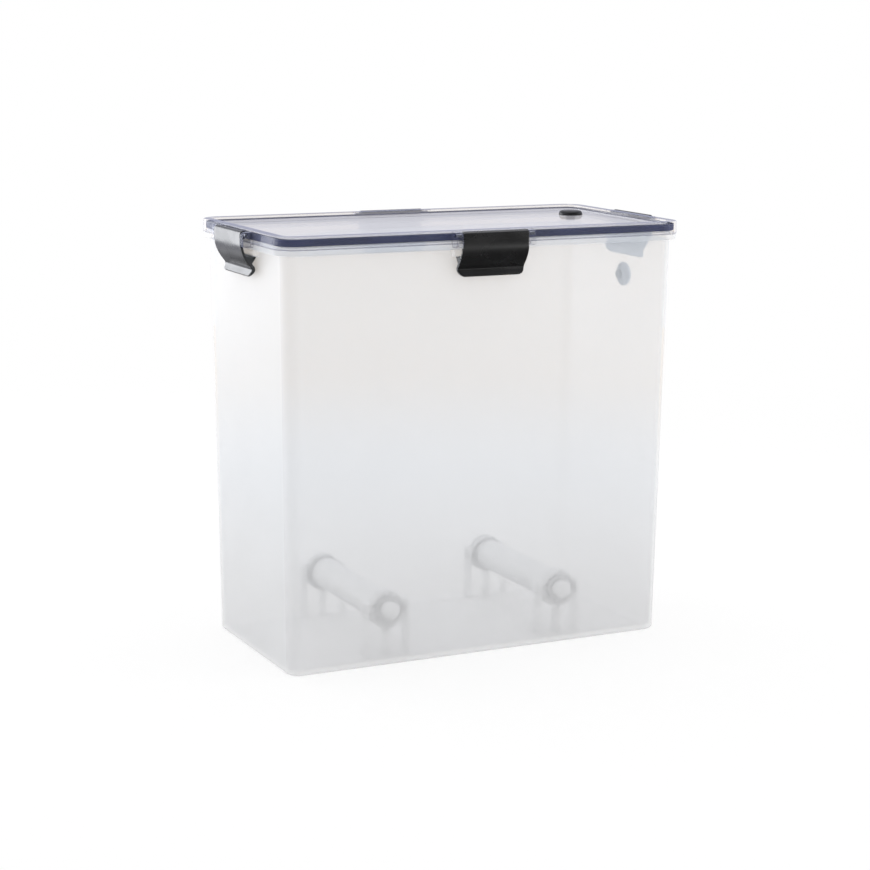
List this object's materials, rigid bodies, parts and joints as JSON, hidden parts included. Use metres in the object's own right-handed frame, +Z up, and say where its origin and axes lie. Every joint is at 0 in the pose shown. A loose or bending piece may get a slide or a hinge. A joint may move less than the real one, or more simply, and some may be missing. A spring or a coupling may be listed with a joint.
{
  "type": "filament dryer box",
  "caption": "Tall sealed box that keeps printer filament spools dry: milky tub with spool rollers, clear lid with a seal, flip latches and stoppered filament ports.",
  "frame": {"origin": "middle of the standing rim's underside, on the surface the box stands on", "axes": "+Z up, +X along the length to the right, +Y towards the back, so the front faces -Y"},
  "size_m": [0.325, 0.1746, 0.3027],
  "materials": {
    "tub_plastic": "milky translucent, smooth satin",
    "clear_plastic": "clear, polished",
    "black_plastic": "moulded, glossy black",
    "seal_rubber": "soft satin navy black",
    "black_rubber": "soft satin black",
    "white_plastic": "moulded white, satin",
    "steel": "ground bright"
  },
  "bodies": {
    "container": {"container": "tub_plastic", "roller_left_front_bearing_outer_ring": "white_plastic", "roller_left_front_bearing_balls": "steel", "roller_left_back_bearing_outer_ring": "white_plastic", "roller_left_back_bearing_balls": "steel", "roller_right_front_bearing_outer_ring": "white_plastic", "roller_right_front_bearing_balls": "steel", "roller_right_back_bearing_outer_ring": "white_plastic", "roller_right_back_bearing_balls": "steel"},
    "lid": {"lid": "clear_plastic", "lid_gasket": "seal_rubber", "latch_pin_front": "steel", "latch_pin_back": "steel", "latch_pin_left": "steel", "latch_pin_right": "steel"},
    "lid_plug": {"lid_plug": "black_rubber"},
    "wall_plug": {"wall_plug": "black_rubber"},
    "latch_front": {"latch_front": "black_plastic"},
    "latch_back": {"latch_back": "black_plastic"},
    "latch_left": {"latch_left": "black_plastic"},
    "latch_right": {"latch_right": "black_plastic"},
    "roller_left": {"roller_axle_left": "white_plastic", "roller_sleeve_left": "white_plastic", "roller_left_front_bearing_inner_ring": "white_plastic", "roller_left_back_bearing_inner_ring": "white_plastic"},
    "roller_right": {"roller_axle_right": "white_plastic", "roller_sleeve_right": "white_plastic", "roller_right_front_bearing_inner_ring": "white_plastic", "roller_right_back_bearing_inner_ring": "white_plastic"}
  },
  "joints": [
    {"name": "lid_lift", "type": "slide", "parent": "container", "child": "lid", "axis": [0, 0, 1], "range_m": [0, 0.24]},
    {"name": "latch_front_hinge", "type": "hinge", "parent": "lid", "child": "latch_front", "pos_m": [0, -0.08445, 0.299], "axis": [-1, 0, 0], "range_deg": [0, 120]},
    {"name": "latch_back_hinge", "type": "hinge", "parent": "lid", "child": "latch_back", "pos_m": [0, 0.08445, 0.299], "axis": [1, 0, 0], "range_deg": [0, 120]},
    {"name": "latch_left_hinge", "type": "hinge", "parent": "lid", "child": "latch_left", "pos_m": [-0.1597, 0, 0.299], "axis": [0, 1, 0], "range_deg": [0, 120]},
    {"name": "latch_right_hinge", "type": "hinge", "parent": "lid", "child": "latch_right", "pos_m": [0.1597, 0, 0.299], "axis": [0, -1, 0], "range_deg": [0, 120]},
    {"name": "lid_plug_pull", "type": "slide", "parent": "lid", "child": "lid_plug", "axis": [0, 0, 1], "range_m": [0, 0.03]},
    {"name": "wall_plug_pull", "type": "slide", "parent": "container", "child": "wall_plug", "axis": [1, 0, 0], "range_m": [0, 0.03]},
    {"name": "roller_left_spin", "type": "hinge", "parent": "container", "child": "roller_left", "pos_m": [-0.0685, 0, 0.0372], "axis": [0, 1, 0], "continuous": true},
    {"name": "roller_right_spin", "type": "hinge", "parent": "container", "child": "roller_right", "pos_m": [0.0685, 0, 0.0372], "axis": [0, 1, 0], "continuous": true}
  ]
}
